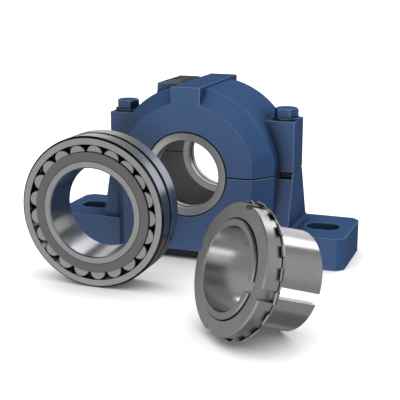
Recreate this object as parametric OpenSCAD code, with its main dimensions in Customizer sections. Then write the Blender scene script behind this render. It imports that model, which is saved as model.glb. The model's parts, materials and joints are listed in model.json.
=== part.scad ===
// Split plummer block with its spherical roller bearing and adapter sleeve set out beside it.
// The origin is on the base face, under the middle of the shaft axis, which runs along Y.

/* [Shaft] */
// Diameter of the shaft that the block carries
shaft_d = 87; // [84:1:92]
// Slope of the tapered bore and sleeve, as one in this number on the diameter
taper = 12; // [12, 30]

/* [Housing] */
// Height of the shaft axis above the base face
centre_h = 112; // [110:1:124]
// Length of the foot along X
foot_l = 398; // [380:1:430]
// Width of the foot along Y
foot_w = 106; // [98:1:120]
// Thickness of the foot
foot_h = 41; // [32:1:50]
// Chamfer on the foot's four upright corners
foot_corner = 9; // [4:0.5:14]
// Width of the body along the shaft
body_w = 147; // [142:1:156]
// Radius of the cap's end faces
face_r = 89.5; // [86:0.5:94]
// Radius of the cap's middle barrel
barrel_r = 108.5; // [107.5:0.5:109]
// Width of the cap's middle barrel along the shaft
barrel_w = 100; // [90:1:110]
// How far the base body's end faces stop short of the barrel's radius
face_step = 21.8; // [16:0.1:24]
// How far the base body's sides stand inside the barrel's radius
side_step = 1.5; // [1.5:0.5:3.5]
// Height of the undercut along the base's front and rear edges
undercut_h = 13; // [6:0.5:18]
// Depth of that undercut
undercut_d = 10.5; // [5:0.5:16]
// Width of the groove drawn along the parting line
parting_groove = 1.6; // [0.8:0.2:2.4]

/* [Bearing seat and seal grooves] */
// Width of the machined bearing seat
seat_w = 58; // [50:1:70]
// Draft between the seat and the end walls, on the radius
chamber_draft = 5; // [3:0.5:8]
// Thickness of the housing's end walls
end_wall = 14.5; // [13:0.5:17]
// Width of the labyrinth groove in each end wall
groove_w = 7; // [6:0.5:8]
// Radial gap between a seal ring and its opening
ring_gap = 1.1; // [0.6:0.1:1.6]

/* [Seal rings] */
// Outer diameter of the seal rings
ring_d = 105.8; // [103:0.2:108]
// Width of the seal rings along the shaft
ring_w = 20; // [17:0.5:24]
// How far a ring stands out of the end face
ring_out = 1.1; // [0:0.1:3]
// Height of the labyrinth fin above the ring
fin_h = 5; // [3:0.5:6]
// Thickness of the rubber ring that grips the shaft
cord_d = 3.4; // [2.6:0.1:4]

/* [Cap] */
// How far the rib across the top stands over the barrel
rib_rise = 1; // [0.6:0.1:4]
// Width of the rib across the top of the cap
rib_w = 38; // [32:1:46]
// Length of the name plate pad along the shaft
pad_l = 76; // [60:1:84]
// Distance from the middle to the outer edge of the name plate pad
pad_x = 51; // [47:1:56]
// Thickness of the name plate
plate_t = 1; // [0.6:0.1:1.6]
// Bare margin around the name plate
plate_margin = 3.5; // [2:0.5:6]
// Height of the bolt lugs above the parting plane
lug_h = 65.3; // [58:0.5:72]
// Width of the bolt lugs along the shaft
lug_w = 45; // [42:1:50]
// Distance from the bolts' axes to the lugs' outer faces
lug_reach = 16.3; // [15:0.1:20]

/* [Base pillars and slots] */
// Width of the pillars at the foot
pillar_foot_w = 94; // [80:1:96]
// Radius of the fillet where a pillar meets the foot
pillar_fillet = 8; // [4:0.5:8]
// Height of the pry notches under the lugs
notch_h = 7.5; // [5:0.5:10]
// Depth of the pry notches
notch_d = 9; // [5:0.5:11]
// Spacing of the foot's two slots
slot_spacing = 321; // [312:1:330]
// Length of each slot from end to end
slot_l = 44; // [36:1:48]
// Width of each slot
slot_w = 32; // [26:1:34]

/* [Cap bolts] */
// Thread diameter of the cap bolts
bolt_d = 18; // [14:1:18]
// How far the bolts' axes stand outside the barrel's radius
bolt_out = 0.9; // [0.4:0.1:3]
// Length of the bolt under its head
bolt_l = 110; // [90:1:130]
// Width across the flats of the bolt head
bolt_flats = 27; // [25:1:28]
// Height of the bolt head
bolt_head_h = 11.5; // [9:0.5:13]
// Outer diameter of the bolt's washer
washer_d = 34; // [33:0.5:36]
// Thickness of the bolt's washer
washer_t = 3; // [2:0.5:4]
// Diameter of the dowel pins between cap and base
dowel_d = 7; // [5:0.5:8]
// Length of the dowel pins
dowel_l = 24; // [16:1:32]

/* [Bearing] */
// Outer diameter of the bearing, and of its seat in the housing
bearing_d = 180; // [178:0.5:181]
// Width of the bearing
bearing_w = 46; // [45:0.5:48]
// Small end of the bearing's tapered bore
bearing_bore = 102; // [98:0.5:103]
// Chamfer on the bearing rings' outer corners
bearing_chamfer = 2.1; // [1.5:0.1:2.5]
// Chamfer on the corners of the bearing's bore
bore_chamfer = 1.2; // [0.8:0.1:2]
// Thickness of the outer ring's wall at its middle
race_wall = 6.3; // [6:0.1:6.8]
// Thickness left for the inner ring under the rollers
track_wall = 12.3; // [12.1:0.1:13.7]
// Least gap between neighbouring rollers
roller_space = 0.9; // [0.6:0.1:1.1]
// Length of a roller
roller_l = 17.8; // [16.6:0.2:18]
// Radial gap between the rollers and the raceways
roller_gap = 0.3; // [0.2:0.05:0.4]
// Width of the lubrication groove around the outer ring
oil_groove_w = 7; // [5:0.5:9]
// Depth of the lubrication groove
oil_groove_d = 1.5; // [1:0.1:2]
// Diameter of the lubrication holes
oil_hole_d = 5; // [3:0.5:6]
// Thickness of the cage sheet
cage_t = 1.4; // [1.2:0.1:1.6]

/* [Adapter sleeve] */
// Length of the adapter sleeve
sleeve_l = 80.4; // [74:0.2:86]
// Width of the slit along the sleeve
slit_w = 12; // [8:0.5:13]
// Outer diameter of the lock nut
nut_d = 136.2; // [132:0.2:142]
// Width of the lock nut
nut_w = 18; // [16:0.5:20]
// Width of the spanner slots in the lock nut
nut_slot_w = 12; // [8:0.5:14]
// Depth of the spanner slots
nut_slot_d = 5; // [3:0.5:6.5]
// How far the sleeve's threaded end stands out of the nut
sleeve_out = 2.6; // [1:0.2:4]
// Thickness of the lock washer
lock_t = 1.8; // [1.4:0.1:2.2]
// How far the washer's ring stands over the nut's rim
lock_step = 0.6; // [0.4:0.1:1]
// Number of tabs around the lock washer
tab_count = 19; // [15:2:21]
// Width of each tab
tab_w = 12.5; // [6:0.5:13]
// Length of each tab
tab_l = 4.8; // [3:0.1:6]
// Angle by which the tabs are bent over the nut's rim
tab_lean = 55; // [40:1:60]

/* [Layout] */
// Where the bearing stands along X
bearing_x = -65; // [-80:1:-50]
// Distance of the bearing's middle in front of the shaft's middle
bearing_y = 184; // [175:1:220]
// Where the lock nut's face stands along X
sleeve_x = 131; // [115:1:145]
// Distance of the lock nut's face in front of the shaft's middle
sleeve_y = 296; // [280:1:310]
// Turn of the sleeve about the vertical
sleeve_yaw = 43.8; // [30:0.1:60]
// Turn of the slit about the sleeve's own axis
slit_turn = 4.6; // [0:0.1:10]

/* [Hidden] */
$fn = 96;

paint = "steelblue";
steel = "lightgray";
tiny = 0.02;
press_gap = 0.02;
fit_gap = 0.05;
run_gap = 0.5;
face_gap = 0.3;
over = 200;
corner_steps = 4;
bend_gap = 0.4;
mark_w = 1.6;
mark_l = 24;

overall_h = centre_h + barrel_r + rib_rise;
base_face_x = barrel_r - face_step;
base_side_x = barrel_r - side_step;
bolt_x = barrel_r + bolt_out;
lug_x = bolt_x + lug_reach;
face_y = body_w / 2;
barrel_y = barrel_w / 2;
shoulder_y = barrel_y - 5;
seat_r = bearing_d / 2 + fit_gap;
chamber_r = seat_r + 1.4;
chamber_end = face_y - end_wall;
ring_r = ring_d / 2;
opening_r = ring_r + ring_gap;
ring_mid = face_y + ring_out - ring_w / 2;
groove_mid = face_y - end_wall / 2;
fin_w = groove_w - 2 * face_gap;
fin_r = ring_r + fin_h;
groove_r = fin_r + ring_gap;
shaft_r = shaft_d / 2;
ring_bore_r = shaft_r + 0.1;
cord_r = cord_d / 2;
cord_groove_r = ring_bore_r + cord_d + press_gap;
lug_top = centre_h + lug_h;
pad_top = overall_h - 0.5;
pillar_top = centre_h;
washer_top = lug_top + washer_t;
foot_round = 6;
notch_w = lug_x - base_side_x - 2.2;
edge_r = 3;
shoulder_r = 12;
rib_fillet = 5;
bolt_hole_d = bolt_d + 2;
dowel_x = (seat_r + base_side_x) / 2;
dowel_y = seat_w / 2 + dowel_d;

bearing_h = bearing_w / 2;
raceway_r = bearing_d / 2 - race_wall;
ring_face_r = sqrt(pow(raceway_r, 2) - pow(bearing_h, 2));
roller_d = bearing_d / 2 - race_wall - track_wall - bearing_bore / 2;
roller_r = roller_d / 2;
roller_orbit = raceway_r - roller_gap - roller_r;
row_y = roller_l / 2 + 3.4;
row_tilt = asin(row_y / roller_orbit);
row_r = roller_orbit * cos(row_tilt);
roller_count = floor(180 / asin((roller_r + roller_space / 2) / row_r));
inner_arc_r = 2 * row_r;
inner_arc_y = 2 * row_y;
land_r = inner_arc_r - sqrt(pow(raceway_r, 2) - pow(inner_arc_y, 2));
cage_in_r = inner_arc_r - raceway_r + run_gap;
cage_out_r = row_r - 0.6;
finger_low = land_r + face_gap;
finger_high = finger_low + 1.6;
finger_w = 1.8;
bore_small_r = bearing_bore / 2;
bore_large_r = bore_small_r + bearing_w / (2 * taper);

thread_r = bore_small_r - 0.1;
nut_r = nut_d / 2;
nut_far = sleeve_out + nut_w;
lock_near = nut_far + fit_gap;
lock_mid = lock_near + lock_t / 2;
lock_r = nut_r + lock_step;
taper_start = lock_near + lock_t + 4;
sleeve_r = bore_small_r + (sleeve_l - taper_start + 4) / (2 * taper);
taper_start_r = sleeve_r - (sleeve_l - taper_start) / (2 * taper);
tab_root = 3;
tab_t = lock_t - 2 * tiny;
tab_bend_r = lock_r + bend_gap;
tab_tip = [tab_bend_r, lock_mid] + tab_l * [cos(tab_lean), -sin(tab_lean)];
tab_face = tab_t / 2 * [sin(tab_lean), cos(tab_lean)];
tab_tip_r = tab_tip.x + tab_face.x;
tab_tip_s = tab_tip.y + tab_face.y;
tab_step = 360 / tab_count;
tab_half = atan(tab_w / 2 / tab_tip_r);
tab_reach = max([for (i = [0:tab_count - 1], side = [-1, 1])
  norm([tab_tip_r, tab_w / 2]) * sin(slit_turn + i * tab_step + side * tab_half)]);
end_bevel = 0.6;
end_reach = sleeve_r - end_bevel / 2;
sleeve_tilt = atan((tab_reach - end_reach) / (sleeve_l - end_bevel - tab_tip_s));
sleeve_z = tab_reach * cos(sleeve_tilt) + (tab_tip_s - sleeve_out) * sin(sleeve_tilt);

// Points along the arc that rounds corner b, between its neighbours a and c
function corner_arc(a, b, c, r) = let(
  u = (a - b) / norm(a - b),
  v = (c - b) / norm(c - b),
  half = acos(u * v) / 2,
  mid = b + (u + v) / norm(u + v) * r / sin(half),
  first = b + u * r / tan(half) - mid,
  last = b + v * r / tan(half) - mid,
  start = atan2(first.y, first.x),
  turn = atan2(first.x * last.y - first.y * last.x, first * last))
  [for (i = [0:corner_steps]) mid + r * [cos(start + turn * i / corner_steps), sin(start + turn * i / corner_steps)]];

// Outline with each corner rounded by the radius that stands in its place, or left sharp at 0
function rounded(points, radii) = let(n = len(points))
  [for (i = [0:n - 1]) each radii[i] > 0
    ? corner_arc(points[(i + n - 1) % n], points[i], points[(i + 1) % n], radii[i])
    : [points[i]]];

// Turns a solid that stands on Z so that it lies along the shaft, with its near end towards the front
module along_shaft() rotate([-90, 0, 0]) children();

// Lays a solid in the housing's bore
module on_axis() translate([0, 0, centre_h]) along_shaft() children();

// Lays a solid in the free-standing bearing
module in_bearing() translate([bearing_x, -bearing_y, bearing_d / 2]) along_shaft() children();

// Lays a solid on the tilted sleeve, with 0 at the threaded end
module on_sleeve() translate([sleeve_x, -sleeve_y, sleeve_z]) rotate([-90 - sleeve_tilt, 0, -sleeve_yaw])
  translate([0, 0, -sleeve_out]) children();

// Half space above or below the parting plane
module above() translate([-over, -over, centre_h]) cube([2 * over, 2 * over, over]);
module below() translate([-over, -over, centre_h - over]) cube([2 * over, 2 * over, over]);

// The hollow inside cap and base: seat, tapering chamber, seal grooves and openings
module hollow() on_axis() rotate_extrude() polygon([
  [0, -face_y - 1], [opening_r + 1, -face_y - 1], [opening_r + 1, -face_y], [opening_r, -face_y + 1],
  [opening_r, -groove_mid - groove_w / 2], [groove_r, -groove_mid - groove_w / 2],
  [groove_r, -groove_mid + groove_w / 2], [opening_r, -groove_mid + groove_w / 2],
  [opening_r, -chamber_end], [chamber_r - chamber_draft, -chamber_end], [chamber_r, -seat_w / 2],
  [seat_r, -seat_w / 2], [seat_r, seat_w / 2], [chamber_r, seat_w / 2],
  [chamber_r - chamber_draft, chamber_end], [opening_r, chamber_end],
  [opening_r, groove_mid - groove_w / 2], [groove_r, groove_mid - groove_w / 2],
  [groove_r, groove_mid + groove_w / 2], [opening_r, groove_mid + groove_w / 2],
  [opening_r, face_y - 1], [opening_r + 1, face_y], [opening_r + 1, face_y + 1], [0, face_y + 1]]);

// A thin groove along the parting line, from one plan point to the next
module parting_line(a, b) {
  reach = norm(b - a);
  translate([a.x, a.y, centre_h]) rotate([0, 0, atan2(b.y - a.y, b.x - a.x)]) rotate([45, 0, 0])
    translate([-1, -parting_groove / 2, -parting_groove / 2]) cube([reach + 2, parting_groove, parting_groove]);
}

// The parting line's grooves on the front and rear faces and on the flanks
module parting_grooves() for (side = [-1, 1]) {
  parting_line([-base_face_x - 1, side * face_y], [base_face_x + 1, side * face_y]);
  for (end = [-1, 1]) {
    parting_line([end * base_face_x, side * face_y], [end * base_side_x, side * shoulder_y]);
    parting_line([end * lug_x, -lug_w / 2 - 1], [end * lug_x, lug_w / 2 + 1]);
  }
}

// Bolt and dowel holes through the parting plane
module cap_holes() {
  for (end = [-1, 1]) translate([end * bolt_x, 0, centre_h - tiny]) cylinder(h = lug_h + 1, d = bolt_hole_d);
  for (end = [-1, 1]) translate([end * dowel_x, -end * dowel_y, centre_h - 1])
    cylinder(h = dowel_l / 2 + 1 + face_gap, d = dowel_d + 2 * press_gap);
}

module housing_cap() color(paint) difference() {
  intersection() {
    union() {
      intersection() {
        on_axis() rotate_extrude() polygon(rounded(
          [[0, -face_y], [face_r, -face_y], [barrel_r, -barrel_y], [barrel_r, barrel_y], [face_r, face_y], [0, face_y]],
          [0, edge_r, shoulder_r, shoulder_r, edge_r, 0]));
        body_prism(centre_h - 1, over);
      }
      cap_rib();
      plate_pad();
      translate([-lug_x, -lug_w / 2, centre_h]) cube([2 * lug_x, lug_w, lug_h]);
    }
    above();
  }
  hollow();
  cap_holes();
  parting_grooves();
  lug_undercut();
}

// Height of a circle of radius r over the shaft axis, at the distance x to its side
function arch(r, x) = sqrt(r * r - x * x);

// The flat rib across the top, with curved roots where its flanks meet the end faces' rims
module cap_rib() {
  half = rib_w / 2;
  root = rib_fillet * 2;
  translate([0, face_y, centre_h]) rotate([90, 0, 0]) linear_extrude(height = body_w) polygon(rounded(
    [[-half - root, 0], [half + root, 0], [half + root, arch(face_r, half + root) - 0.5], [half, arch(face_r, half)],
      [half, overall_h - centre_h], [-half, overall_h - centre_h], [-half, arch(face_r, half)],
      [-half - root, arch(face_r, half + root) - 0.5]],
    [0, 0, 0, rib_fillet, 1.5, 1.5, rib_fillet, 0]));
}

// The raised pad beside the rib that carries the name plate
module plate_pad() {
  root = rib_fillet * 2;
  translate([0, pad_l / 2, centre_h]) rotate([90, 0, 0]) linear_extrude(height = pad_l) polygon(rounded(
    [[0, 0], [0, pad_top - centre_h], [-pad_x, pad_top - centre_h], [-pad_x - 0.8, arch(barrel_r, pad_x)],
      [-pad_x - root, arch(barrel_r, pad_x + root) - 0.5], [-pad_x - root, 0]],
    [0, 0, 1, rib_fillet, 0, 0]));
}

// A small step along the lugs' front and rear lower edges, above the pry notches
module lug_undercut() for (end = [0, 1], side = [0, 1]) mirror([end, 0, 0]) mirror([0, side, 0])
  translate([base_side_x + 0.6, -lug_w / 2 - 1, centre_h - 1])
    cube([notch_w, notch_d / 2 + 1, 1 + notch_h / 4]);

// Upright prism of the body's outline seen from above, which cap and base share
module body_prism(low, high) translate([0, 0, low]) linear_extrude(height = high) polygon(rounded(
  [[-base_face_x, -face_y], [base_face_x, -face_y], [base_side_x, -shoulder_y], [base_side_x, shoulder_y],
    [base_face_x, face_y], [-base_face_x, face_y], [-base_side_x, shoulder_y], [-base_side_x, -shoulder_y]],
  [4, 4, 6, 6, 4, 4, 6, 6]));

module housing_base() color(paint) difference() {
  intersection() {
    union() {
      body_prism(0, centre_h + 1);
      linear_extrude(height = foot_h) polygon(rounded(foot_outline(), [for (i = [0:7]) foot_round]));
      base_pillars();
    }
    below();
  }
  hollow();
  base_undercuts();
  foot_slots();
  base_holes();
  parting_grooves();
  pry_notches();
  centre_marks();
}

// Outline of the foot with its chamfered corners
function foot_outline() = let(x = foot_l / 2, y = foot_w / 2, c = foot_corner) [
  [-x + c, -y], [x - c, -y], [x, -y + c], [x, y - c], [x - c, y], [-x + c, y], [-x, y - c], [-x, -y + c]];

// The two bolt pillars: wide at the foot and narrow under the lugs, with a fillet all round where they meet the foot
module base_pillars() {
  flare = lug_x + 0.8;
  intersection() {
    translate([-over, 0, 0]) rotate([90, 0, 90]) linear_extrude(height = 2 * over) polygon(rounded([
      [-foot_w / 2, 0], [foot_w / 2, 0], [foot_w / 2, foot_h], [pillar_foot_w / 2, foot_h], [lug_w / 2, pillar_top],
      [-lug_w / 2, pillar_top], [-pillar_foot_w / 2, foot_h], [-foot_w / 2, foot_h]],
      [0, 0, 0, pillar_fillet, 0, 0, pillar_fillet, 0]));
    translate([0, over, 0]) rotate([90, 0, 0]) linear_extrude(height = 2 * over) polygon(rounded([
      [-flare - 12, 0], [flare + 12, 0], [flare + 12, foot_h], [flare, foot_h], [lug_x, pillar_top],
      [-lug_x, pillar_top], [-flare, foot_h], [-flare - 12, foot_h]],
      [0, 0, 0, 5, 0, 0, 5, 0]));
  }
}

// The sloped undercut along the front and rear of the body's underside
module base_undercuts() for (side = [0, 1]) mirror([0, side, 0])
  translate([-over, 0, 0]) rotate([90, 0, 90]) linear_extrude(height = 2 * over) polygon([
    [-face_y - 1, -1], [-face_y + undercut_d + undercut_d / undercut_h, -1],
    [-face_y, undercut_h], [-face_y - 1, undercut_h]]);

module foot_slots() for (end = [-1, 1]) translate([end * slot_spacing / 2, 0, -1]) linear_extrude(height = foot_h + 2)
  union() {
    square([slot_l - slot_w, slot_w], center = true);
    for (tip = [-1, 1]) translate([tip * (slot_l - slot_w) / 2, 0]) circle(d = slot_w);
  }

// Threaded holes for the cap bolts, and the dowel holes
module base_holes() {
  depth = bolt_l - lug_h - washer_t + 6;
  for (end = [-1, 1]) translate([end * bolt_x, 0, centre_h - depth]) cylinder(h = depth + 1, d = bolt_d + 2 * fit_gap);
  for (end = [-1, 1]) translate([end * dowel_x, -end * dowel_y, centre_h - dowel_l / 2 - face_gap])
    cylinder(h = dowel_l / 2 + 1 + face_gap, d = dowel_d + 2 * press_gap);
}

// Notches in the pillars where a bar lifts the cap
module pry_notches() for (end = [0, 1], side = [0, 1]) mirror([end, 0, 0]) mirror([0, side, 0])
  translate([base_side_x + 0.6, -lug_w / 2 - 9, centre_h - notch_h])
    cube([notch_w, notch_d + 9, notch_h + 1]);

// The V cut in the lower front and rear edges that marks the shaft's centre line
module centre_marks() for (side = [0, 1]) mirror([0, side, 0])
  translate([0, -face_y + undercut_d / 2, undercut_h / 2]) rotate([-atan(undercut_h / undercut_d), 0, 0]) rotate([0, 45, 0])
    cube([mark_w, mark_l, mark_w], center = true);

module cap_bolt(end) color(paint) translate([end * bolt_x, 0, washer_top]) {
  intersection() {
    cylinder(h = bolt_head_h, d = bolt_flats / cos(30), $fn = 6);
    cylinder(h = bolt_head_h, r1 = bolt_flats / 2 / cos(30) + bolt_head_h * 1.8, r2 = bolt_flats / 2 - 0.6);
  }
  translate([0, 0, -bolt_l]) cylinder(h = bolt_l + 1, d = bolt_d);
}

module cap_washer(end) color(paint) translate([end * bolt_x, 0, lug_top]) difference() {
  cylinder(h = washer_t, d = washer_d);
  translate([0, 0, -1]) cylinder(h = washer_t + 2, d = bolt_d + 1);
}

module dowel_pin(end) color(steel) translate([end * dowel_x, -end * dowel_y, centre_h - dowel_l / 2])
  cylinder(h = dowel_l, d = dowel_d);

module name_plate() color(steel) translate([-pad_x + plate_margin, -pad_l / 2 + plate_margin, pad_top])
  cube([pad_x - rib_w / 2 - 2 * plate_margin + 1.5, pad_l - 2 * plate_margin, plate_t]);

// A labyrinth ring with one fin outside and a cord groove inside its bore
module seal_ring(side) color(steel) on_axis() mirror([0, 0, side]) {
  mid = -ring_mid;
  fin = -groove_mid;
  rotate_extrude() polygon([
    [ring_bore_r, mid - ring_w / 2 + 0.6], [ring_bore_r + 0.6, mid - ring_w / 2], [ring_r - 0.6, mid - ring_w / 2],
    [ring_r, mid - ring_w / 2 + 0.6], [ring_r, fin - fin_w / 2], [fin_r, fin - fin_w / 2], [fin_r, fin + fin_w / 2],
    [ring_r, fin + fin_w / 2], [ring_r, mid + ring_w / 2 - 0.6], [ring_r - 0.6, mid + ring_w / 2],
    [ring_bore_r + 0.6, mid + ring_w / 2], [ring_bore_r, mid + ring_w / 2 - 0.6],
    [ring_bore_r, mid + cord_r * 1.1], [cord_groove_r, mid + cord_r * 1.1],
    [cord_groove_r, mid - cord_r * 1.1], [ring_bore_r, mid - cord_r * 1.1]]);
}

module rubber_ring(side) color("dimgray") on_axis() mirror([0, 0, side]) translate([0, 0, -ring_mid])
  rotate_extrude() translate([cord_groove_r - cord_r - press_gap, 0]) circle(r = cord_r);

module bearing_outer_ring() color(steel) in_bearing() difference() {
  c = bearing_chamfer;
  rotate_extrude() polygon([
    [ring_face_r - 9, -bearing_h], [bearing_d / 2 - c, -bearing_h], [bearing_d / 2, -bearing_h + c],
    [bearing_d / 2, -oil_groove_w / 2], [bearing_d / 2 - oil_groove_d, -oil_groove_w / 2 + oil_groove_d / 2],
    [bearing_d / 2 - oil_groove_d, oil_groove_w / 2 - oil_groove_d / 2], [bearing_d / 2, oil_groove_w / 2],
    [bearing_d / 2, bearing_h - c], [bearing_d / 2 - c, bearing_h], [ring_face_r - 9, bearing_h]]);
  sphere(r = raceway_r);
  for (i = [0:2]) rotate([0, 0, 90 + 120 * i]) rotate([0, 90, 0]) cylinder(h = bearing_d / 2 + 1, d = oil_hole_d);
}

module bearing_inner_ring() color(steel) in_bearing() rotate_extrude() difference() {
  c = bore_chamfer;
  polygon([
    [bore_large_r + c, -bearing_h], [land_r, -bearing_h], [land_r, bearing_h], [bore_small_r + c, bearing_h],
    [bore_small_r + c / (2 * taper), bearing_h - c], [bore_large_r - c / (2 * taper), -bearing_h + c]]);
  for (side = [-1, 1]) translate([inner_arc_r, side * inner_arc_y]) circle(r = raceway_r);
}

// The loose ring that floats on the inner ring between the two rows
module guide_ring() color(steel) in_bearing() rotate_extrude() polygon([
  [land_r + face_gap, -1.4], [row_r - 0.3, -2.5], [row_r - 0.3, 2.5], [land_r + face_gap, 1.4]]);

// A pressed cage: flat flange outside the rollers, with one finger reaching in between each two of them
module cage(side) color("gray") in_bearing() mirror([0, 0, side]) {
  flange = -bearing_h + 0.1;
  finger_end = -(row_y - roller_l / 2);
  difference() {
    translate([0, 0, flange]) cylinder(h = cage_t, r = cage_out_r);
    translate([0, 0, flange - 1]) cylinder(h = cage_t + 2, r = cage_in_r);
  }
  for (i = [0:roller_count - 1]) rotate([0, 0, (i + 0.5) * 360 / roller_count])
    translate([finger_low, -finger_w / 2, flange + cage_t / 2])
      cube([finger_high - finger_low, finger_w, finger_end - flange - cage_t / 2]);
}

// One row of barrel rollers, each a solid of its own
module roller_row(side) color(steel) in_bearing() mirror([0, 0, side])
  for (i = [0:roller_count - 1]) rotate([0, 0, i * 360 / roller_count])
    translate([row_r, 0, -row_y]) rotate([0, row_tilt, 0]) barrel_roller();

module barrel_roller() {
  crown_r = raceway_r - roller_gap;
  end_r = crown_r * cos(asin(roller_l / 2 / crown_r)) - crown_r + roller_r;
  bevel = 0.7;
  rotate_extrude() intersection() {
    translate([roller_r - crown_r, 0]) circle(r = crown_r);
    polygon([
      [0, -roller_l / 2], [end_r - bevel, -roller_l / 2], [roller_r, -roller_l / 2 + bevel * 1.6],
      [roller_r, roller_l / 2 - bevel * 1.6], [end_r - bevel, roller_l / 2], [0, roller_l / 2]]);
  }
}

module adapter_sleeve() color(steel) on_sleeve() difference() {
  rotate_extrude() polygon([
    [shaft_r, end_bevel], [shaft_r + end_bevel, 0], [thread_r - 1.3, 0], [thread_r, 1.3],
    [thread_r, taper_start - 2.5], [thread_r - 1.2, taper_start - 2], [thread_r - 1.2, taper_start - 0.5],
    [taper_start_r, taper_start], [end_reach, sleeve_l - end_bevel], [end_reach - end_bevel, sleeve_l],
    [shaft_r + end_bevel, sleeve_l], [shaft_r, sleeve_l - end_bevel]]);
  rotate([0, 0, slit_turn]) translate([0, -slit_w / 2, -1]) cube([2 * sleeve_r, slit_w, sleeve_l + 2]);
}

module lock_nut() color(steel) on_sleeve() difference() {
  rotate_extrude() polygon([
    [thread_r + fit_gap, sleeve_out + 1.6], [thread_r + 1.6, sleeve_out], [nut_r - 2, sleeve_out],
    [nut_r, sleeve_out + 1.2], [nut_r, nut_far - 1.2], [nut_r - 1.2, nut_far], [thread_r + 1.6, nut_far],
    [thread_r + fit_gap, nut_far - 1.6]]);
  for (i = [0:3]) rotate([0, 0, slit_turn + 90 * i]) translate([nut_r - nut_slot_d, -nut_slot_w / 2, 0])
    cube([nut_slot_d + 5, nut_slot_w, nut_far + 1]);
}

// Section of a tab, from its root in the ring over the bend to its tip
function tab_section() = let(bend = tab_t / 2 * tan(tab_lean / 2), low = lock_mid - tab_t / 2, high = lock_mid + tab_t / 2)
  [[lock_r - tab_root, low], [tab_bend_r - bend, low], tab_tip - tab_face, tab_tip + tab_face,
    [tab_bend_r + bend, high], [lock_r - tab_root, high]];

// The lock washer: a ring with a tongue in the sleeve's slit and straight tabs bent over the nut's rim
module lock_washer() color(steel) on_sleeve() {
  difference() {
    translate([0, 0, lock_near]) cylinder(h = lock_t, r = lock_r);
    translate([0, 0, lock_near - 1]) cylinder(h = lock_t + 2, r = thread_r + face_gap);
  }
  rotate([0, 0, slit_turn]) translate([shaft_r + 1, -slit_w / 2 + face_gap, lock_mid - tab_t / 2])
    cube([thread_r - shaft_r + 2, slit_w - 2 * face_gap, tab_t]);
  for (i = [0:tab_count - 1]) rotate([0, 0, slit_turn + i * tab_step]) rotate([90, 0, 0])
    linear_extrude(height = tab_w, center = true) polygon(tab_section());
}

housing_base();
housing_cap();
cap_bolt(-1);  // cap_bolt_left
cap_bolt(1);  // cap_bolt_right
cap_washer(-1);  // cap_washer_left
cap_washer(1);  // cap_washer_right
dowel_pin(1);  // dowel_pin_front
dowel_pin(-1);  // dowel_pin_rear
name_plate();
seal_ring(0);  // front_seal_ring
rubber_ring(0);  // front_rubber_ring
seal_ring(1);  // rear_seal_ring
rubber_ring(1);  // rear_rubber_ring
bearing_outer_ring();
bearing_inner_ring();
guide_ring();
cage(0);  // cage_front
cage(1);  // cage_rear
roller_row(0);  // rollers_front
roller_row(1);  // rollers_rear
adapter_sleeve();
lock_nut();
lock_washer();
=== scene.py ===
import json
import math

import bpy
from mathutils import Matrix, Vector


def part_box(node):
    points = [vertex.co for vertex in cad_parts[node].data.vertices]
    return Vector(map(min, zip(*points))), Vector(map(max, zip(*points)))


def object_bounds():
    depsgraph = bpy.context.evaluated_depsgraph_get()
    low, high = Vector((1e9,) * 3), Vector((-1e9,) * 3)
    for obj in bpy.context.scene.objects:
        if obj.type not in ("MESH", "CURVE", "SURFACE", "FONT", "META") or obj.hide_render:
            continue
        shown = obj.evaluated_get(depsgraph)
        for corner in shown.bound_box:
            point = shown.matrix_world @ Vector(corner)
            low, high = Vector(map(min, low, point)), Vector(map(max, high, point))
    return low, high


# Looks of a split plummer block with its bearing and its adapter sleeve beside it.
# Metres, +Z up, the shaft along Y with the front at -Y.
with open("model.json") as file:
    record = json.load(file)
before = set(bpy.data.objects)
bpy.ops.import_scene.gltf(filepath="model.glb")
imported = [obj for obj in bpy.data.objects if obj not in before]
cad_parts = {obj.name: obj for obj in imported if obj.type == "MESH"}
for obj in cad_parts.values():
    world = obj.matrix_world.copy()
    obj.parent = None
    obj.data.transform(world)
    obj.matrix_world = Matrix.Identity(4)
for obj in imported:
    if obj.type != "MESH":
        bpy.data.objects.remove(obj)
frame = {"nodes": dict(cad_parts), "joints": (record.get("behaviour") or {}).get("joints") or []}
cad_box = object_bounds()
bpy.ops.object.select_all(action="DESELECT")

CENTRE_H = 0.112
SHAFT_MIDDLE = Vector((0.0, 0.0, CENTRE_H))
SHAFT_AXIS = Vector((0.0, 1.0, 0.0))
UPWARDS = Vector((0.0, 0.0, 1.0))
joints = {joint["name"]: joint for joint in frame["joints"]}
BEARING_MIDDLE = Vector(joints["bearing_swivel"]["pos_m"])
NUT_MIDDLE = Vector(joints["nut_turn"]["pos_m"])
SLEEVE_AXIS = Vector(joints["nut_turn"]["axis"]).normalized()

# The camera stands where the photograph was taken from
CAMERA_PLACE = (0.4095, -1.1380, 0.3744)
CAMERA_AZIMUTH = 20.117
CAMERA_DOWN = 14.514
CAMERA_LENS = 84.1
CAMERA_SENSOR = 36
CAMERA_NEAR = 0.01


def add_camera():
    bpy.ops.object.camera_add(location=CAMERA_PLACE)
    camera = bpy.context.object
    camera.rotation_euler = (math.radians(90 - CAMERA_DOWN), 0, math.radians(CAMERA_AZIMUTH))
    camera.data.lens = CAMERA_LENS
    camera.data.sensor_width = CAMERA_SENSOR
    camera.data.clip_start = CAMERA_NEAR
    bpy.context.scene.camera = camera


# Node helpers

EDGE_SAMPLES = 6
CREASE_SAMPLES = 8


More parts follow.
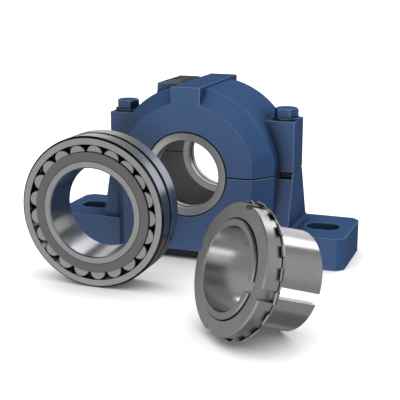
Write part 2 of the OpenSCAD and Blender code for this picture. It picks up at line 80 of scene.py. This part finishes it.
class Tree:
    """A node tree with short ways to add and join nodes."""

    def __init__(self, node_tree):
        self.nodes = node_tree.nodes
        self.links = node_tree.links

    def join(self, output, target):
        self.links.new(output, target)

    def fill(self, target, value):
        if isinstance(value, bpy.types.NodeSocket):
            self.links.new(value, target)
        else:
            target.default_value = value

    def math(self, operation, first, second=0.0):
        node = self.nodes.new("ShaderNodeMath")
        node.operation = operation
        self.fill(node.inputs[0], first)
        self.fill(node.inputs[1], second)
        return node.outputs[0]

    def vector(self, operation, first, second=(0, 0, 0)):
        node = self.nodes.new("ShaderNodeVectorMath")
        node.operation = operation
        self.fill(node.inputs[0], first)
        self.fill(node.inputs[1], second)
        return node.outputs["Value" if operation in ("DOT_PRODUCT", "LENGTH") else "Vector"]

    def choose(self, factor, first, second):
        """The first number where the factor is 0, the second where it is 1."""
        node = self.nodes.new("ShaderNodeMix")
        self.fill(node.inputs["Factor"], factor)
        self.fill(node.inputs["A"], first)
        self.fill(node.inputs["B"], second)
        return node.outputs["Result"]

    def between(self, value, low, high):
        above = self.math("GREATER_THAN", value, low)
        return self.math("MULTIPLY", above, self.math("LESS_THAN", value, high))

    def remap(self, value, old, new, smooth=False):
        """A value carried from one low and high to another."""
        node = self.nodes.new("ShaderNodeMapRange")
        node.interpolation_type = "SMOOTHSTEP" if smooth else "LINEAR"
        self.join(value, node.inputs["Value"])
        for name, number in zip(("From Min", "From Max", "To Min", "To Max"), (*old, *new)):
            node.inputs[name].default_value = number
        return node.outputs["Result"]

    def mix(self, factor, first, second):
        node = self.nodes.new("ShaderNodeMix")
        node.data_type = "RGBA"
        self.fill(node.inputs["Factor"], factor)
        for target, colour in ((node.inputs["A"], first), (node.inputs["B"], second)):
            self.fill(target, colour if isinstance(colour, bpy.types.NodeSocket) else (*colour, 1.0))
        return node.outputs["Result"]

    def bump(self, height, strength, distance, normal=None):
        node = self.nodes.new("ShaderNodeBump")
        node.inputs["Strength"].default_value = strength
        node.inputs["Distance"].default_value = distance
        self.join(height, node.inputs["Height"])
        if normal is not None:
            self.join(normal, node.inputs["Normal"])
        return node.outputs["Normal"]


class Shader(Tree):
    """A material's tree, with its surface and each point's place."""

    def __init__(self, name):
        self.material = bpy.data.materials.new(name)
        self.material.use_nodes = True
        super().__init__(self.material.node_tree)
        self.surface = self.nodes["Principled BSDF"]
        self.place = self.nodes.new("ShaderNodeTexCoord").outputs["Object"]

    def set(self, name, value):
        self.surface.inputs[name].default_value = value

    def drive(self, name, output):
        self.join(output, self.surface.inputs[name])

    def noise(self, scale, detail, roughness, place=None):
        node = self.nodes.new("ShaderNodeTexNoise")
        node.inputs["Scale"].default_value = scale
        node.inputs["Detail"].default_value = detail
        node.inputs["Roughness"].default_value = roughness
        self.join(place or self.place, node.inputs["Vector"])
        return node.outputs["Fac"]

    def part(self, letter, vector=None):
        """One part of a vector, or of the point's place."""
        node = self.nodes.new("ShaderNodeSeparateXYZ")
        self.join(vector or self.place, node.inputs[0])
        return node.outputs[letter]

    def scale(self, colour, factor):
        """A colour made darker or lighter."""
        node = self.nodes.new("ShaderNodeVectorMath")
        node.operation = "SCALE"
        self.fill(node.inputs[0], colour)
        self.fill(node.inputs["Scale"], factor)
        return node.outputs["Vector"]

    def true_normal(self):
        return self.nodes.new("ShaderNodeNewGeometry").outputs["True Normal"]

    def box(self, x_low, x_high, y_low, y_high):
        """1 inside an upright box, 0 outside it."""
        return self.math("MULTIPLY", self.between(self.part("X"), x_low, x_high),
                         self.between(self.part("Y"), y_low, y_high))

    def rounded_edge(self, radius):
        """A normal that runs smoothly round every edge, as on a casting."""
        node = self.nodes.new("ShaderNodeBevel")
        node.samples = EDGE_SAMPLES
        node.inputs["Radius"].default_value = radius
        return node.outputs["Normal"]

    def crease(self, reach):
        """How open the surface lies to the air, low in corners."""
        node = self.nodes.new("ShaderNodeAmbientOcclusion")
        node.samples = CREASE_SAMPLES
        node.inputs["Distance"].default_value = reach
        return node.outputs["AO"]

    def distance_from_axis(self, middle, axis):
        """How far a point lies from an axis, and how far along it."""
        arm = self.vector("SUBTRACT", self.place, tuple(middle))
        along = self.vector("DOT_PRODUCT", arm, tuple(axis))
        across = self.vector("CROSS_PRODUCT", arm, tuple(axis))
        return self.vector("LENGTH", across), along


# Materials

# Each noise here is its scale, detail and roughness, and each bump its strength and depth.
# Most of a noise lies in this span.
NOISE_SPAN = (0.3, 0.7)

# Blue paint in two close tones, with a painted highlight on edges and painted shade in corners
PAINT = (0.025, 0.071, 0.180)
PAINT_LIGHT = (0.030, 0.078, 0.198)
PAINTED_EDGE_HIGHLIGHT = (0.24, 0.34, 0.50)
PAINTED_SHADE_DARK = (0.002, 0.004, 0.010)
PAINT_ROUGHNESS = (0.36, 0.48)
PAINT_GLOSS = 0.5
MOTTLE_NOISE = (160, 3, 0.6)
MOTTLE_SPAN = (0.35, 0.65)

# The sand-cast skin, a fine grain over slow swells
GRAIN_NOISE = (430, 4, 0.6)
GRAIN_BUMP = (0.55, 0.0006)
SWELL_NOISE = (55, 2, 0.5)
SWELL_BUMP = (0.35, 0.0009)

# Cast edges: their radius, how strong the painted highlight on them is, and how bent and how open a
# highlighted place is
CAST_EDGE = 0.0015
EDGE_HIGHLIGHT_STRENGTH = 0.85
EDGE_BEND = (0.93, 0.995)
EDGE_OPEN = (0.85, 1.0)

# Painted shade in corners, sheltered places and on downward faces; corners and sheltered places are told by
# how open they are within a reach
CREASE_REACH = 0.011
CREASE_OPEN = (0.30, 0.88)
SHELTER_REACH = 0.035
SHELTER_OPEN = (0.40, 0.98)
SHELTER_SHADE_TONE = 0.12
UNDERSIDE_SHADE_SPAN = (-0.5, -0.3)

# The primed chamber round the bearing seat, and the joint between base and cap
PRIMER = (0.26, 0.26, 0.265)
CHAMBER_R = 0.0955
CHAMBER_HALF = 0.0595
GAP_BLACK = (0.002, 0.002, 0.003)
PARTING_HALF = 0.0006


def cast_paint():
    """Blue paint over a fine sand-cast skin, with grey primer in the bearing chamber."""
    shader = Shader("cast_paint")
    grain = shader.noise(*GRAIN_NOISE)
    swell = shader.noise(*SWELL_NOISE)
    mottle = shader.noise(*MOTTLE_NOISE)
    colour = shader.mix(shader.remap(mottle, MOTTLE_SPAN, (0, 1)), PAINT, PAINT_LIGHT)
    # Painted shade: sheltered places are darkened by how little open air they see
    painted_shelter_shade = shader.remap(shader.crease(SHELTER_REACH), SHELTER_OPEN, (SHELTER_SHADE_TONE, 1.0))
    colour = shader.scale(colour, painted_shelter_shade)
    round_normal = shader.rounded_edge(CAST_EDGE)
    # Painted highlight: edges where the rounded normal bends away from the face are coloured light
    bend = shader.vector("DOT_PRODUCT", round_normal, shader.true_normal())
    bent = shader.remap(bend, EDGE_BEND, (1.0, 0.0))
    outward = shader.remap(shader.crease(CAST_EDGE), EDGE_OPEN, (0.0, EDGE_HIGHLIGHT_STRENGTH))
    colour = shader.mix(shader.math("MULTIPLY", bent, outward), colour, PAINTED_EDGE_HIGHLIGHT)
    # Painted shade: corners are darkened to near black
    open_air = shader.remap(shader.crease(CREASE_REACH), CREASE_OPEN, (0, 1), True)
    colour = shader.mix(open_air, PAINTED_SHADE_DARK, colour)
    # Painted shade: faces turned downwards are darkened to near black
    facing_up = shader.part("Z", shader.true_normal())
    colour = shader.mix(shader.remap(facing_up, UNDERSIDE_SHADE_SPAN, (0, 1)), PAINTED_SHADE_DARK, colour)
    radius, along = shader.distance_from_axis(SHAFT_MIDDLE, SHAFT_AXIS)
    between_ends = shader.math("LESS_THAN", shader.math("ABSOLUTE", along), CHAMBER_HALF)
    inside = shader.math("MULTIPLY", shader.math("LESS_THAN", radius, CHAMBER_R), between_ends)
    colour = shader.mix(inside, colour, PRIMER)
    height = shader.math("ABSOLUTE", shader.math("SUBTRACT", shader.part("Z"), CENTRE_H))
    colour = shader.mix(shader.math("LESS_THAN", height, PARTING_HALF), colour, GAP_BLACK)
    shader.drive("Base Color", colour)
    shader.drive("Roughness", shader.remap(grain, NOISE_SPAN, PAINT_ROUGHNESS))
    shader.set("Specular IOR Level", PAINT_GLOSS)
    skin = shader.bump(swell, *SWELL_BUMP, round_normal)
    shader.drive("Normal", shader.bump(grain, *GRAIN_BUMP, skin))
    return shader.material


# Turned steel: rings left by the tool, and a cloudy tone
RING_PITCH = 0.0006
RING_NOISE = (1.0 / RING_PITCH, 2, 0.5)
RING_DEPTH = 0.00006
RING_TONE = (-0.05, 0.05)
ROUGHNESS_SPREAD = (-0.03, 0.04)
CLOUD_NOISE = (45, 3, 0.55)
CLOUD_TONE = (0.96, 1.04)
STEEL_ANISOTROPY = 0.2

# A surface turned this far towards the axis is an end face
FACE_ON = 0.6

# Steel edges, and painted shade: darker corners and dark bands
STEEL_EDGE = 0.0005
STEEL_REACH = 0.005
STEEL_OPEN = (0.25, 0.80)
STEEL_CORNER_SHADE_TONE = 0.35
BAND_SHADE_TONE = 0.12


def turned_steel(name, middle, axis, colour, roughness, ring_strength, bands):
    """Steel turned about an axis, with fine rings from the tool and painted shade as dark bands.

    Each band is the least and greatest radius, then the least and greatest distance along the axis.
    """
    shader = Shader(name)
    shader.set("Metallic", 1.0)
    shader.set("Anisotropic", STEEL_ANISOTROPY)
    radius, along = shader.distance_from_axis(middle, axis)
    face_on = shader.math("ABSOLUTE", shader.vector("DOT_PRODUCT", shader.true_normal(), tuple(axis)))
    is_face = shader.math("GREATER_THAN", face_on, FACE_ON)
    rings = shader.nodes.new("ShaderNodeCombineXYZ")
    shader.join(shader.choose(is_face, along, radius), rings.inputs["X"])
    lines = shader.noise(*RING_NOISE, rings.outputs[0])
    cloud = shader.noise(*CLOUD_NOISE)
    ring_tone = shader.remap(lines, NOISE_SPAN, RING_TONE)
    tone = shader.math("ADD", ring_tone, shader.remap(cloud, NOISE_SPAN, CLOUD_TONE))
    # Painted shade: each band is coloured dark
    for least_r, greatest_r, start, end in bands:
        in_radius = shader.between(radius, least_r, greatest_r)
        band = shader.math("MULTIPLY", in_radius, shader.between(along, start, end))
        tone = shader.choose(band, tone, BAND_SHADE_TONE)
    # Painted shade: steel is darkened in corners by how little open air it sees
    open_air = shader.remap(shader.crease(STEEL_REACH), STEEL_OPEN, (STEEL_CORNER_SHADE_TONE, 1.0), True)
    tone = shader.math("MULTIPLY", tone, open_air)
    shader.drive("Base Color", shader.scale(colour, tone))
    roughness_span = [roughness + change for change in ROUGHNESS_SPREAD]
    shader.drive("Roughness", shader.remap(lines, NOISE_SPAN, roughness_span))
    arm = shader.vector("SUBTRACT", shader.place, tuple(middle))
    around = shader.vector("NORMALIZE", shader.vector("CROSS_PRODUCT", tuple(axis), arm))
    shader.drive("Tangent", around)
    face_lines = shader.math("MULTIPLY", lines, is_face)
    round_normal = shader.rounded_edge(STEEL_EDGE)
    shader.drive("Normal", shader.bump(face_lines, ring_strength, RING_DEPTH, round_normal))
    return shader.material


# The rubber cords of the seal rings
RUBBER_BLACK = (0.012, 0.012, 0.012, 1)
RUBBER_NOISE = (1200, 3, 0.6)
RUBBER_BUMP = (0.2, 0.0001)
RUBBER_ROUGHNESS = (0.5, 0.68)


def black_rubber():
    shader = Shader("black_rubber")
    shader.set("Base Color", RUBBER_BLACK)
    grain = shader.noise(*RUBBER_NOISE)
    shader.drive("Roughness", shader.remap(grain, NOISE_SPAN, RUBBER_ROUGHNESS))
    shader.drive("Normal", shader.bump(grain, *RUBBER_BUMP))
    return shader.material


# The name plate: its metal, the printed panel's margins, the blank fields along it, and its screws
PLATE_METAL = (0.40, 0.40, 0.39)
PLATE_METAL_LIGHT = (0.52, 0.52, 0.51)
PLATE_ROUGHNESS = 0.42
PLATE_GLOSS = 0.2
BRUSH_STRETCH = (900, 40, 1)
BRUSH_NOISE = (1.0, 3, 0.6)
BRUSH_BUMP = (0.15, 0.00005)
PLATE_INK = (0.02, 0.02, 0.021)
PLATE_RIM = 0.0018
PLATE_ENDS = 0.0045
PLATE_INSET = 0.0045
PLATE_FIELDS = ((0.05, 0.40), (0.52, 0.66), (0.78, 0.92))
SCREW_R = 0.0014
SCREW_LINE = 0.0004


def plate_metal():
    """A brushed plate with a dark printed panel, blank fields in it and a drive screw at each end."""
    shader = Shader("plate_metal")
    shader.set("Specular IOR Level", PLATE_GLOSS)
    shader.set("Roughness", PLATE_ROUGHNESS)
    streak = shader.nodes.new("ShaderNodeMapping")
    streak.inputs["Scale"].default_value = BRUSH_STRETCH
    shader.join(shader.place, streak.inputs["Vector"])
    brush = shader.noise(*BRUSH_NOISE, streak.outputs[0])
    metal = shader.mix(brush, PLATE_METAL, PLATE_METAL_LIGHT)
    low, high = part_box("name_plate")
    panel_start = low[1] + PLATE_ENDS
    panel_length = high[1] - low[1] - 2 * PLATE_ENDS
    ink = shader.box(low[0] + PLATE_RIM, high[0] - PLATE_RIM, panel_start, panel_start + panel_length)
    for first, last in PLATE_FIELDS:
        start = panel_start + first * panel_length
        end = panel_start + last * panel_length
        field = shader.box(low[0] + PLATE_INSET, high[0] - PLATE_INSET, start, end)
        ink = shader.math("SUBTRACT", ink, field)
    for screw_y in (low[1] + PLATE_ENDS / 2, high[1] - PLATE_ENDS / 2):
        middle = Vector(((low[0] + high[0]) / 2, screw_y, high[2]))
        from_middle = shader.distance_from_axis(middle, UPWARDS)[0]
        ink = shader.math("ADD", ink, shader.between(from_middle, SCREW_R, SCREW_R + SCREW_LINE))
    shader.drive("Base Color", shader.mix(ink, metal, PLATE_INK))
    shader.drive("Metallic", shader.math("SUBTRACT", 1.0, ink))
    shader.drive("Normal", shader.bump(brush, *BRUSH_BUMP))
    return shader.material


def nodes_of(names):
    return [frame["nodes"][name] for name in names]


def give_finish(material, names):
    for node in nodes_of(names):
        node.data.materials.clear()
        node.data.materials.append(material)


# Which piece has which finish
PAINTED = ("housing_base", "housing_cap",
           "cap_bolt_left", "cap_bolt_right", "cap_washer_left", "cap_washer_right")
SEALS = ("front_seal_ring", "rear_seal_ring", "dowel_pin_front", "dowel_pin_rear")
RINGS = ("bearing_outer_ring", "bearing_inner_ring", "guide_ring", "rollers_front", "rollers_rear")
CAGES = ("cage_front", "cage_rear")
SLEEVE = ("adapter_sleeve", "lock_washer")
NUT = ("lock_nut",)
RUBBER = ("front_rubber_ring", "rear_rubber_ring")
PLATE = ("name_plate",)

# Painted shade: the bearing's chamfers and oil groove, coloured dark
CHAMFER_R = 0.0876
GROOVE_R = 0.0897
GROOVE_HALF = 0.0040
RING_HALF = 0.02085
BORE_CHAMFER_R = 0.0523
BORE_HALF = 0.0218
BEYOND = 1.0
BEARING_SHADE_BANDS = (
    (CHAMFER_R, BEYOND, RING_HALF, BEYOND),
    (CHAMFER_R, BEYOND, -BEYOND, -RING_HALF),
    (CHAMFER_R, GROOVE_R, -GROOVE_HALF, GROOVE_HALF),
    (0.0, BORE_CHAMFER_R, BORE_HALF, BEYOND),
    (0.0, BORE_CHAMFER_R, -BEYOND, -BORE_HALF),
)

# Each steel's name, middle, axis, colour, roughness, strength of its tool rings, dark bands and pieces
STEELS = (
    ("seal_steel", SHAFT_MIDDLE, SHAFT_AXIS, (0.80, 0.80, 0.805), 0.30, 0.2, (), SEALS),
    ("bearing_steel", BEARING_MIDDLE, SHAFT_AXIS, (0.56, 0.56, 0.565), 0.20, 0.06, BEARING_SHADE_BANDS, RINGS),
    ("cage_steel", BEARING_MIDDLE, SHAFT_AXIS, (0.29, 0.29, 0.29), 0.36, 0.2, (), CAGES),
    ("sleeve_steel", NUT_MIDDLE, SLEEVE_AXIS, (0.70, 0.70, 0.703), 0.18, 0.1, (), SLEEVE),
    ("nut_steel", NUT_MIDDLE, SLEEVE_AXIS, (0.72, 0.72, 0.723), 0.30, 0.1, (), NUT),
)

add_camera()
give_finish(cast_paint(), PAINTED)
for *finish, pieces in STEELS:
    give_finish(turned_steel(*finish), pieces)
give_finish(black_rubber(), RUBBER)
give_finish(plate_metal(), PLATE)


# Floor, world and lights

WHITE = (1.0, 1.0, 1.0, 1.0)

# The floor's size, the way back to its middle, its tone and roughness, and its painted contact shadow under a
# piece
FLOOR_SIZE = 40
FLOOR_BACK = 10
FLOOR_GREY = 0.97
FLOOR_ROUGHNESS = 0.9
CONTACT_REACH = 0.05
CONTACT_OPEN = (0.35, 0.95)
CONTACT_SHADOW_TONE = 0.86

# What matt surfaces are lit by, apart from the suns
SKY = 0.13
SKY_BELOW = 0.12
HORIZON = (-0.2, 0.2)

# What gloss and metal reflect: a grey room, darker behind, overhead and below
ROOM = 0.27
ROOM_BEHIND = 0.32
ROOM_OVERHEAD = 0.25
ROOM_BELOW = 0.45
BEHIND_SPAN = (0.45, 0.9)
OVERHEAD_SPAN = (0.55, 0.9)
BELOW_SPAN = (-0.93, -0.84)

# Round soft lamps in that room: azimuth, elevation, inner and outer angle, and strength
GLOWS = (
    (200, -12, 15, 50, 0.24),
    (85, 24, 10, 35, 0.10),
)

# Each sun's name, azimuth, elevation, spread and strength, and what it lights
SUNS = (
    ("floor_sun", 0, 82, 126, 1.38, "ground"),
    ("front_sun", 157, 2, 50, 0.84, "painted"),
    ("rear_sun", 20, 60, 60, 1.06, "painted"),
)

# Each far panel's name, azimuth, elevation, size and radiance, and what reflects it
FAR_PANELS = (
    ("front_gloss", 195, -6, (4.0, 3.0), 0.78, "painted"),
    ("edge_lamp", 160, 28, (1.4, 0.9), 4.5, "painted"),
    ("rear_wall", 0, 14, (5.0, 1.1), 0.62, "bearing"),
    ("sleeve_wall", 0, 14, (5.0, 1.1), 0.12, "sleeve"),
    ("rear_strip", 12, 45, (2.8, 1.0), 1.55, "bare_metal"),
    ("ring_lamp", 200, -12, (3.0, 3.0), 0.06, "front_ring"),
    ("rear_ring_lamp", 200, -12, (3.0, 3.0), 0.26, "rear_ring"),
)
SET_MIDDLE = Vector((0.05, -0.1, 0.1))
PANEL_DISTANCE = 3.0

# A card close behind the adapter sleeve
CARD_PLACE = (0.205, -0.085, 0.15)
CARD_SIZE = (0.22, 0.20)
CARD_RADIANCE = 0.55


def add_floor():
    """A white floor that catches shadows, with a painted contact shadow under each piece, and stays out of
    the reflections.
    """
    bpy.ops.mesh.primitive_plane_add(size=FLOOR_SIZE, location=(0, FLOOR_BACK, cad_box[0][2]))
    floor = bpy.context.object
    floor.name = "floor"
    shader = Shader("floor_white")
    shader.set("Roughness", FLOOR_ROUGHNESS)
    shader.set("Specular IOR Level", 0.0)
    # Painted shadow: the floor is darkened where pieces stand close to it
    painted_contact_shadow = shader.remap(shader.crease(CONTACT_REACH), CONTACT_OPEN, (CONTACT_SHADOW_TONE, FLOOR_GREY))
    shader.drive("Base Color", shader.scale(WHITE[:3], painted_contact_shadow))
    floor.data.materials.append(shader.material)
    floor.visible_glossy = False
    floor.visible_diffuse = False
    floor.visible_shadow = False
    return floor


def compass(azimuth, elevation):
    """A direction from its compass side, 0 at the rear and 90 at the right, and its height."""
    turn = math.radians(azimuth)
    height = math.radians(elevation)
    return Vector((math.sin(turn) * math.cos(height), math.cos(turn) * math.cos(height), math.sin(height)))


def gather(name, pieces):
    """A named group of pieces, for a lamp that only they are lit by."""
    group = bpy.data.collections.new(name)
    for piece in pieces:
        group.objects.link(piece)
    return group


def add_sun(name, azimuth, elevation, spread, strength, lit):
    """A wide soft light on one group of pieces, that leaves no highlight."""
    bpy.ops.object.light_add(type="SUN")
    light = bpy.context.object
    light.name = name
    light.data.angle = math.radians(spread)
    light.data.energy = strength * math.pi
    light.rotation_euler = compass(azimuth, elevation).to_track_quat("Z", "Y").to_euler()
    light.visible_glossy = False
    light.light_linking.receiver_collection = lit


def add_panel(name, place, way, size, radiance, lit):
    """A lit panel that looks against a direction, and that only one group of pieces reflects or hides."""
    bpy.ops.object.light_add(type="AREA", location=place)
    light = bpy.context.object
    light.name = name
    light.data.shape = "RECTANGLE"
    light.data.size, light.data.size_y = size
    light.data.energy = math.pi * size[0] * size[1] * radiance
    light.rotation_euler = way.to_track_quat("Z", "Y").to_euler()
    light.visible_camera = False
    light.visible_diffuse = False
    light.light_linking.receiver_collection = lit
    light.light_linking.blocker_collection = lit


def add_far_panel(name, azimuth, elevation, size, radiance, lit):
    way = compass(azimuth, elevation)
    add_panel(name, SET_MIDDLE + way * PANEL_DISTANCE, way, size, radiance, lit)


def glow(tree, direction, azimuth, elevation, inner, outer, strength):
    """A round soft lamp seen in the reflections, between two angles from its middle."""
    towards = tree.vector("DOT_PRODUCT", direction, tuple(compass(azimuth, elevation)))
    rim = math.cos(math.radians(outer))
    return tree.remap(towards, (rim, math.cos(math.radians(inner))), (0.0, strength), True)


def add_world():
    """White behind the set, a soft sky for matt surfaces, and a studio room for reflections."""
    world = bpy.data.worlds.new("studio")
    bpy.context.scene.world = world
    world.use_nodes = True
    world.cycles.sampling_method = "NONE"
    tree = Tree(world.node_tree)
    room = tree.nodes["Background"]
    direction = tree.nodes.new("ShaderNodeTexCoord").outputs["Generated"]
    rising = tree.vector("DOT_PRODUCT", direction, tuple(UPWARDS))
    rearward = tree.vector("DOT_PRODUCT", direction, tuple(SHAFT_AXIS))
    behind = tree.remap(rearward, BEHIND_SPAN, (1.0, ROOM_BEHIND), True)
    overhead = tree.remap(rising, OVERHEAD_SPAN, (1.0, ROOM_OVERHEAD), True)
    below = tree.remap(rising, BELOW_SPAN, (ROOM_BELOW, 1.0), True)
    shown = tree.math("MULTIPLY", tree.math("MULTIPLY", behind, overhead), tree.math("MULTIPLY", below, ROOM))
    for lamp in GLOWS:
        shown = tree.math("ADD", shown, glow(tree, direction, *lamp))
    sky = tree.remap(rising, HORIZON, (SKY_BELOW, SKY), True)
    path = tree.nodes.new("ShaderNodeLightPath")
    tree.join(tree.choose(path.outputs["Is Glossy Ray"], sky, shown), room.inputs["Strength"])
    room.inputs["Color"].default_value = WHITE
    white = tree.nodes.new("ShaderNodeBackground")
    white.inputs["Color"].default_value = WHITE
    mix = tree.nodes.new("ShaderNodeMixShader")
    tree.join(path.outputs["Is Camera Ray"], mix.inputs["Fac"])
    tree.join(room.outputs[0], mix.inputs[1])
    tree.join(white.outputs[0], mix.inputs[2])
    tree.join(mix.outputs[0], tree.nodes["World Output"].inputs["Surface"])


# The groups of pieces that have lamps of their own
GROUPS = {
    "ground": [add_floor()],
    "painted": nodes_of(PAINTED),
    "bearing": nodes_of(SEALS + RINGS + CAGES),
    "sleeve": nodes_of(SLEEVE + NUT),
    "bare_metal": nodes_of(SEALS + RINGS + CAGES + SLEEVE + NUT + PLATE),
    "front_ring": nodes_of(("front_seal_ring",)),
    "rear_ring": nodes_of(("rear_seal_ring",)),
}
lit_groups = {name: gather(name, pieces) for name, pieces in GROUPS.items()}

add_world()
for *settings, group in SUNS:
    add_sun(*settings, lit_groups[group])
for *settings, group in FAR_PANELS:
    add_far_panel(*settings, lit_groups[group])
add_panel("sleeve_card", CARD_PLACE, SHAFT_AXIS, CARD_SIZE, CARD_RADIANCE, lit_groups["sleeve"])
scene = bpy.context.scene
scene.view_settings.view_transform = "Standard"
scene.view_settings.look = "None"
